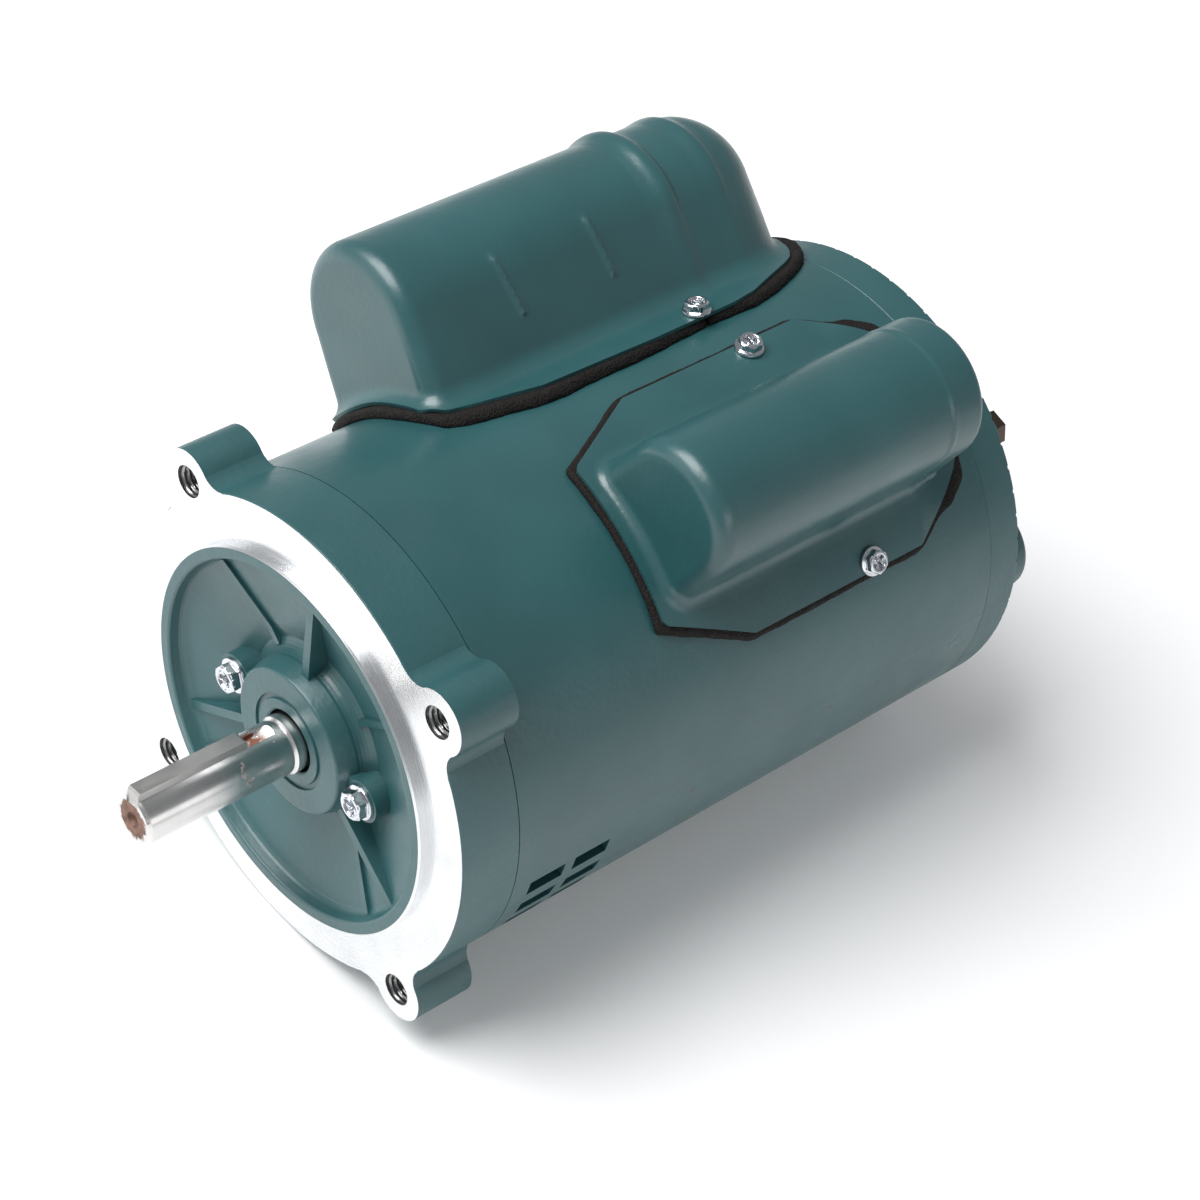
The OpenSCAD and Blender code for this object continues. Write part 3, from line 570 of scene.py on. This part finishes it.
def ray_to_outline(points, normals, outline):
    """Where rays from points leave a convex outline of (across, depth) corners, past the least flange."""
    far = np.full(len(points), 1e9)
    ring = outline + [outline[0]]
    for (x0, y0), (x1, y1) in zip(ring, ring[1:]):
        ex, ey = x1 - x0, y1 - y0
        den = normals[:, 0] * ey - normals[:, 1] * ex
        den = np.where(np.abs(den) < 1e-9, 1e-9, den)
        k = ((x0 - points[:, 0]) * ey - (y0 - points[:, 1]) * ex) / den
        m = ((x0 - points[:, 0]) * normals[:, 1] - (y0 - points[:, 1]) * normals[:, 0]) / den
        hit = (k > 0) & (m > -0.02) & (m < 1.02)
        far = np.where(hit, np.minimum(far, k), far)
    far = np.where(far > 1e8, LEAST_FLANGE, far)
    return points + normals * np.maximum(far, LEAST_FLANGE)[:, None]


def mirrored(half_points):
    """Whole ring from its half: the two middles are shared."""
    back = half_points[-2:0:-1].copy()
    back[:, 0] *= -1
    return np.concatenate([half_points, back])


def end_inset(r, below):
    """How far an end with a top edge of radius r stands back, at this distance below the crown."""
    return r - math.sqrt(max(r * r - max(r - below, 0) ** 2, 0))


def cover_rings(c):
    """Rough rings from the flange's edge to the crown, each with whether it settles upright."""
    plan, out = half_ring(c.half, c.front, c.rear, c.front_r, min(c.rear_r, c.half - 4))
    reach = np.hypot(*(ray_to_outline(plan, out, c.outline) - plan).T)
    root = np.minimum(c.fillet, reach * 0.9)
    rings = []

    def flange_height(q):
        return np.sqrt(np.maximum(c.flange_r ** 2 - q[:, 0] ** 2, 1))

    def ring(q, h, upright=False):
        rings.append((mirrored(np.stack([q[:, 0], h, q[:, 1]], 1)), upright))

    for u in FLANGE_SHARES:
        q = plan + out * (reach + (root - reach) * u)[:, None]
        ring(q, flange_height(q), upright=True)
    for a in range(0, 91, 15):
        q = plan + out * (root * (1 - math.sin(rad(a))))[:, None]
        ring(q, flange_height(q) + c.fillet * (1 - math.cos(rad(a))))
    base = flange_height(plan) + c.fillet
    for k in range(1, WALL_RINGS + 1):
        ring(plan, base + (c.spine - base) * k / WALL_RINGS)
    crown = c.spine + c.half
    for k in range(1, CROWN_RINGS + 1):
        a = rad(CROWN_ARC * k / CROWN_RINGS)
        half, h = c.half * math.cos(a), c.spine + c.half * math.sin(a)
        front = c.front + end_inset(c.front_r, crown - h)
        rear = c.rear - end_inset(c.rear_r, crown - h)
        q, _ = half_ring(half, front, rear, min(c.front_r, half * 0.8), min(c.rear_r, half * 0.8))
        ring(q, np.full(len(q), h))
    return rings


def cover_mesh(c):
    """Rings settled on the cover's outer surface, closed over the crown, then thickened inwards."""
    rings = cover_rings(c)
    n = len(rings[0][0])
    outer = np.concatenate([c.settle(points, upright) for points, upright in rings])
    normal = c.slope(outer)
    normal /= np.linalg.norm(normal, axis=1)[:, None]
    inner = outer - normal * SKIN_THICK
    total = len(outer)
    faces = tube_faces(len(rings), n)
    last = (len(rings) - 1) * n
    faces.append((last, last + 1, last + n - 1))
    for j in range(1, n // 2 - 1):
        faces.append((last + j, last + j + 1, last + n - j - 1, last + n - j))
    faces.append((last + n // 2 - 1, last + n // 2, last + n // 2 + 1))
    faces += [tuple(total + i for i in reversed(f)) for f in faces]
    faces += [(j, total + j, total + (j + 1) % n, (j + 1) % n) for j in range(n)]
    return np.concatenate([outer, inner]) @ radial_frame(c.axis), faces


def both_sides(plan):
    """Closed outline from its half: (across, depth) corners from front middle to rear."""
    return plan + [(-t, y) for t, y in reversed(plan) if t > 0]


# Outlines of the flanges.
START_PLAN = [(0, 57.6), (14, 57.2), (22.7, 57.4), (28.2, 62.2), (30.8, 72.1), (34.9, 90.0), (36.1, 130.0),
              (36.0, 160.0), (35.0, 169.0), (28.9, 188.9), (27.0, 192.3), (23.0, 195.5), (14.0, 199.5)]
RUN_PLAN = [(0, 75.2), (24.0, 75.4), (36.6, 103.8), (36.7, 168.5), (22.0, 186.5), (19.0, 189.2)]
# The start cover's rear band, as (depth, extra half width), and its two ribs, as (depth, height) ends.
BAND = soft_table([(68, -0.25), (150.5, -0.2), (153.5, 0.4), (156.2, 1.5), (158.4, 1.65), (160.2, 0.7),
                   (161.6, -0.55), (164, -0.75), (172, -0.75), (175.8, -0.15), (177.8, 0.0), (179.3, -0.75),
                   (180.6, -1.25), (184, -0.9), (215, -0.5)], 0.45)
RIBS = (((95.0, 101.8), (98.0, 85.5)), ((128.6, 101.8), (131.2, 85.5)))
RIB_RISE, RIB_SPREAD, RIB_CLEAR = 0.95, 1.05, 12
# The run cover's bead round its rear end.
BEAD = soft_table([(60, 0), (167.2, 0), (168.5, 0.42), (169.9, 0.15), (200, 0.15)], 0.35)


def start_step(t, h, y):
    """The rear band, which fades down the sides."""
    return BAND(y) * (0.35 + 0.65 * smooth(h, 82, 104))


def start_relief(t, h, y):
    """The ribs on both sides."""
    return sum(RIB_RISE * np.exp(-(to_segment(y, h, a, b) / RIB_SPREAD) ** 2) * (np.abs(t) > RIB_CLEAR)
               for a, b in RIBS)


def run_step(t, h, y):
    return BEAD(y)


def run_lift(t, y):
    """The flange's rear corners stand up off the shell."""
    return 1.9 * smooth(y + 0.35 * (np.abs(t) - 22), 171.5, 186) * smooth(np.abs(t), 18, 30)


start = Cover(START_AXIS, half=24.6, spine=95.0, front=61.0, rear=199.9, flange_r=74.9,
              outline=both_sides(START_PLAN), front_r=5.2, rear_r=22.5, fillet=4.3, draft=0.035,
              step=start_step, relief=start_relief)
run = Cover(RUN_AXIS, half=20.3, spine=88.0, front=81.0, rear=180.6, flange_r=74.1,
            outline=both_sides(RUN_PLAN), front_r=5.2, rear_r=2.6, fillet=3.2, step=run_step, lift=run_lift)

# ---------------------------------------------------------------- foam gaskets

# Outer edges of the foam strips, a little outside the flanges.
START_FOAM = [(0, 55.5), (12, 55.3), (21.3, 57.0), (28.6, 59.4), (31.8, 65.2), (33.9, 76.3),
              (36.3, 87.3), (36.7, 95.9), (36.3, 105), (36.2, 123.5), (35.6, 136), (35.0, 151),
              (35.8, 167.1), (34.5, 176.1), (31.1, 187.4), (27.3, 195.8), (23.7, 199.6), (19.1, 202.5),
              (12, 204)]
RUN_FOAM = [(0, 73.8), (24.7, 73.8), (37.6, 103.3), (37.7, 169.0), (31.4, 178.5), (30.2, 184.0),
            (25.4, 190.4), (18, 191.6)]
# Cross-section of a strip, as (inset from the outer edge, share of the thickness).
FOAM_SECTION = [(0.45, 0.0), (0.10, 0.12), (-0.10, 0.35), (-0.12, 0.6), (0.02, 0.84), (0.30, 0.97),
                (0.75, 1.0), (3.0, 0.99), (6.2, 0.97), (6.5, 0.8), (6.5, 0.2), (6.2, 0.0)]
FOAM_SPACING = 0.55
FOAM_FOOT = SHELL_R + 0.06
CORNER_CUTS = 3
LONGEST_PIECE = 6.0


def rounded_path(corners):
    """Closed path with cut corners, as points at equal distances."""
    corners = np.array(corners + corners[:1], float)
    sides = []
    for a, b in zip(corners, corners[1:]):
        share = min(0.5, LONGEST_PIECE / np.hypot(*(b - a)))
        sides.append(a + (b - a) * np.arange(0, 1, share)[:, None])
    ring = np.concatenate(sides)
    for _ in range(CORNER_CUTS):
        after = np.roll(ring, -1, 0)
        ring = np.stack([0.75 * ring + 0.25 * after, 0.25 * ring + 0.75 * after], 1).reshape(-1, 2)
    ring = np.concatenate([ring, ring[:1]])
    along = np.concatenate([[0], np.cumsum(np.hypot(*np.diff(ring, axis=0).T))])
    at = np.arange(0, along[-1] - 0.5 * FOAM_SPACING, FOAM_SPACING)
    return np.stack([np.interp(at, along, ring[:, k]) for k in (0, 1)], 1)


def foam_strip(name, axis, outline, top, joint, shift, stood_in):
    """Foam strip under a cover's flange, up to a top radius, shifted across and cut through at the joint."""
    path = rounded_path(both_sides(outline)) + np.array((shift, 0.0))
    path = np.roll(path, -1 - int(np.argmin(np.hypot(*(path - joint).T))), 0)
    ahead = np.roll(path, -3, 0) - np.roll(path, 3, 0)
    ahead /= np.hypot(*ahead.T)[:, None]
    inward = np.stack([-ahead[:, 1], ahead[:, 0]], 1)
    run_on = np.arange(len(path)) * FOAM_SPACING
    rows = []
    for k, (inset, share) in enumerate(FOAM_SECTION):
        wave = 0.07 * np.sin(run_on / 1.9 + k) + 0.06 * np.sin(run_on / 0.83 + 2.1 * k)
        wave += 0.10 * np.sin(run_on / 7.7)
        rim = path + inward * (inset + wave * (inset < 1))[:, None]
        r = FOAM_FOOT + (top - FOAM_FOOT) * share + 0.05 * np.sin(run_on / 3.1) * (share > 0.5)
        rows.append(np.stack([rim[:, 0], np.sqrt(r * r - rim[:, 0] ** 2), rim[:, 1]], 1))
    points = np.stack(rows, 1)[:-1]
    faces = capped_tube(*points.shape[:2])
    put_mesh(name, points.reshape(-1, 3) @ radial_frame(axis), faces, "foam_rubber", 60, stood_in)


foam_strip("start_foam_strip", START_AXIS, START_FOAM, 73.95, (35.0, 149.5), 0.0, "start_cover_gasket")
foam_strip("run_foam_strip", RUN_AXIS, RUN_FOAM, 73.15, (-37.8, 150.5), 0.2, "run_cover_gasket")

put_mesh("start_cover_skin", *cover_mesh(start), "painted_sheet", stood_in="start_capacitor_cover")
put_mesh("run_cover_skin", *cover_mesh(run), "painted_sheet", stood_in="run_capacitor_cover")

# ---------------------------------------------------------------- screws and threads

HEAD_SIDES = 96
TOP_RINGS = 34


def upright(axis, spin=0.0):
    """Rows are two sideways directions and the axis itself, turned by a spin in degrees."""
    axis = Vector(axis).normalized()
    side = axis.cross(Vector((0, 1, 0)) if abs(axis.y) < 0.9 else Vector((0, 0, 1))).normalized()
    side = Matrix.Rotation(rad(spin), 3, axis) @ side
    return np.array([side, axis.cross(side), axis])


def screw_head(washer_r, washer_t, across, head_h, shank_r, shank_len):
    """Forged hex head on a washer, with a dished top and a cross recess; the shank points down."""
    angle = np.arange(HEAD_SIDES) * 2 * math.pi / HEAD_SIDES
    sector = (angle + math.pi / 6) % (math.pi / 3) - math.pi / 6
    flat = across / 2
    hexagon = np.minimum(flat / np.cos(sector), flat * 1.115)
    foot = washer_t + 0.12
    shoulder = head_h - 0.28 - 0.5 * (hexagon - flat)
    # Rings from the shank's end up to the edge of the dished top, as (radius, height).
    rows = [(shank_r, -shank_len), (shank_r, -0.01), (washer_r - 0.15, 0.0), (washer_r, 0.15),
            (washer_r, washer_t - 0.35), (washer_r - 0.12, washer_t - 0.12), (washer_r - 0.4, washer_t),
            (washer_r - 0.7, washer_t + 0.02), (hexagon + 0.25, foot - 0.06), (hexagon, foot + 0.1),
            (hexagon, shoulder), (np.minimum(hexagon, flat * 1.02) - 0.04, shoulder + 0.12),
            (flat * 0.96, head_h - 0.06), (flat * 0.90, head_h)]
    arm, arm_len = 0.085 * across, 0.30 * across
    for share in np.linspace(0.86, 0.02, TOP_RINGS):
        r = flat * share
        bowl = 0.11 * across * smooth(0.80 - share, 0, 0.22)
        x, y = np.abs(r * np.cos(angle)), np.abs(r * np.sin(angle))
        reach = np.minimum(np.maximum(x / arm_len, y / arm), np.maximum(y / arm_len, x / arm))
        cross = 0.26 * across * smooth(1.25 - reach, 0, 0.45) * (1 - 0.45 * share)
        rows.append((r, head_h - bowl - cross))
    points = [np.stack([r * np.cos(angle), r * np.sin(angle), z + 0 * angle], 1) for r, z in rows]
    return np.concatenate(points), capped_tube(len(rows), HEAD_SIDES)


def put_screws(name, stood_in, places, slot="zinc_plate", **sizes):
    """One mesh for a set of screws: places are (seat, axis, spin)."""
    points, faces = screw_head(**sizes)
    screws = [(points @ upright(axis, spin) + np.array(seat), faces) for seat, axis, spin in places]
    put_mesh(name, *joined(screws), slot, 38, stood_in)


def around(angle, r, y):
    """Seat and outward axis at a clock angle, radius and depth."""
    x, z = on_ring(angle, r)
    return (x, y, z), (math.cos(rad(angle)), 0, math.sin(rad(angle)))


FORWARDS, BACKWARDS = (0, -1, 0), (0, 1, 0)
COVER_SCREW = dict(washer_r=4.3, washer_t=0.9, across=6.35, head_h=3.3, shank_r=1.85)
GROUND_X, GROUND_Z = on_ring(-30, 37)

put_screws("start_cover_screw_heads", "start_cover_screws",
           [(*around(START_AXIS + turn, 75.0, 148.4), spin) for turn, spin in ((-26.4, 12), (26.4, 40))],
           **COVER_SCREW, shank_len=7.8)
put_screws("run_cover_screw_heads", "run_cover_screws",
           [(*around(RUN_AXIS + turn, 74.2, 148.9), spin) for turn, spin in ((-27.4, 25), (27.4, 3))],
           **COVER_SCREW, shank_len=7.3)
put_screws("retainer_screw_heads", "retainer_screws",
           [((x, 1.2, 0), FORWARDS, spin) for x, spin in ((28, 8), (-28, 22))],
           washer_r=5.3, washer_t=1.0, across=7.9, head_h=4.0, shank_r=1.95, shank_len=24.9)
put_screws("terminal_cover_screw_heads", "terminal_cover_screws",
           [((-45, 215.8, z), BACKWARDS, spin) for z, spin in ((15.5, 5), (-15.5, 33))],
           washer_r=3.6, washer_t=0.8, across=5.5, head_h=2.8, shank_r=1.45, shank_len=5.9)
put_screws("ground_screw_head", "ground_screw",
           [((GROUND_X, 214.4, GROUND_Z), BACKWARDS, 17)], "green_screw",
           washer_r=4.6, washer_t=0.9, across=7.9, head_h=3.4, shank_r=1.85, shank_len=6.9)

# Thread of the ear holes, 3/8-16.
THREAD_PITCH = 1.5875
THREAD_ROOT, THREAD_CREST, THREAD_WALL = 4.65, 3.97, 4.73
THREAD_TOP, THREAD_BOTTOM = 0.7, 15.2
THREAD_SIDES, ROWS_PER_PITCH = 40, 8


def tapped_wall(x, z):
    """Threaded wall of a tapped hole that opens towards -y, as a closed sleeve."""
    depths = np.arange(THREAD_TOP, THREAD_BOTTOM, THREAD_PITCH / ROWS_PER_PITCH)[:, None]
    angle = np.arange(THREAD_SIDES) * 2 * math.pi / THREAD_SIDES
    phase = (depths / THREAD_PITCH + angle[None] / (2 * math.pi)) % 1.0
    ridge = np.clip(1.25 - 2.5 * np.abs(2 * phase - 1), 0, 1) * smooth(depths, THREAD_TOP, THREAD_TOP + 1.2)
    inner_r = THREAD_ROOT - (THREAD_ROOT - THREAD_CREST) * ridge
    walls = [np.stack([r * np.cos(angle), depths + 0 * inner_r, r * np.sin(angle)], 2).reshape(-1, 3)
             for r in (inner_r, THREAD_WALL + 0 * inner_r)]
    m, n = THREAD_SIDES, len(depths)
    faces = tube_faces(n, m)
    faces += [tuple(n * m + i for i in reversed(f)) for f in faces]
    for a in (0, (n - 1) * m):
        faces += [(a + j, a + (j + 1) % m, a + n * m + (j + 1) % m, a + n * m + j) for j in range(m)]
    return np.concatenate(walls) + np.array([x, 0, z]), faces


# The threads wear the darkened thread metal, painted shade inside the holes.
put_mesh("ear_threads", *joined([tapped_wall(*on_ring(a, EAR_C)) for a in EARS]), "painted_cast", 50,
         shader=THREAD_SHADED)

# ---------------------------------------------------------------- floor, light, camera

FLOOR_HALF = 9
FLOOR_GAP = 0.0002
floor_mesh = bpy.data.meshes.new("floor")
floor_corners = [(x * FLOOR_HALF, y * FLOOR_HALF, 0) for x, y in ((-1, -1), (1, -1), (1, 1), (-1, 1))]
floor_mesh.from_pydata(floor_corners, [], [(0, 1, 2, 3)])
floor = bpy.data.objects.new("floor", floor_mesh)
floor.location.z = -SHELL_R * MM - FLOOR_GAP
bpy.context.scene.collection.objects.link(floor)
white = Shader("floor_white", (0.93, 0.93, 0.935), 0.75, Specular_IOR_Level=0.15,
               Emission_Color=(1, 1, 1, 1), Emission_Strength=0.08)
floor_mesh.materials.append(white.material)

# The sky's strength falls from the horizon up to a rise of ZENITH.
ZENITH = 0.7
HORIZON_LIGHT, ZENITH_LIGHT = 0.44, 0.28
world = bpy.data.worlds.new("studio")
bpy.context.scene.world = world
world.use_nodes = True
sky = world.node_tree
direction = sky.nodes.new("ShaderNodeTexCoord").outputs["Generated"]
split = sky.nodes.new("ShaderNodeSeparateXYZ")
sky.links.new(direction, split.inputs[0])
rise = sky.nodes.new("ShaderNodeMapRange")
for place, value in enumerate((0.0, ZENITH, HORIZON_LIGHT, ZENITH_LIGHT), 1):
    rise.inputs[place].default_value = value
sky.links.new(split.outputs[2], rise.inputs[0])
sky.nodes["Background"].inputs[0].default_value = (0.95, 0.97, 1.0, 1)
sky.links.new(rise.outputs[0], sky.nodes["Background"].inputs[1])


def soft_light(name, place, target, size, power):
    """Rectangular light, with places and sizes in metres and its power in watts."""
    data = bpy.data.lights.new(name, "AREA")
    data.shape = "RECTANGLE"
    data.size, data.size_y = size
    data.energy = power
    obj = bpy.data.objects.new(name, data)
    obj.location = place
    obj.rotation_euler = (Vector(target) - Vector(place)).to_track_quat("-Z", "Y").to_euler()
    bpy.context.scene.collection.objects.link(obj)


soft_light("key", (-0.52, -0.68, 1.58), (0, 0.1, 0), (1.4, 1.4), 48)
soft_light("front", (-0.9, -1.5, 0.45), (0, 0.0, 0), (1.2, 0.8), 3)
soft_light("side", (1.5, 0.2, 0.35), (0, 0.1, 0), (1.2, 0.6), 3)

# Camera, in millimetres, as fitted to the photo.
EYE = Vector((446.06, -396.14, 628.50)) * MM
AIM = Vector((10.18, 100.0, 7.69)) * MM
UP = Vector((-0.2107, 0.0, 0.9776))
camera_data = bpy.data.cameras.new("camera")
camera_data.lens = 96.15
camera_data.sensor_width = 36.0
camera_data.clip_start = 0.01
camera_data.clip_end = 30.0
camera = bpy.data.objects.new("camera", camera_data)
back = (EYE - AIM).normalized()
right = UP.cross(back).normalized()
turned = Matrix((right, back.cross(right), back)).transposed().to_4x4()
camera.matrix_world = Matrix.Translation(EYE) @ turned
bpy.context.scene.collection.objects.link(camera)
bpy.context.scene.camera = camera
bpy.context.scene.view_settings.view_transform = "Standard"
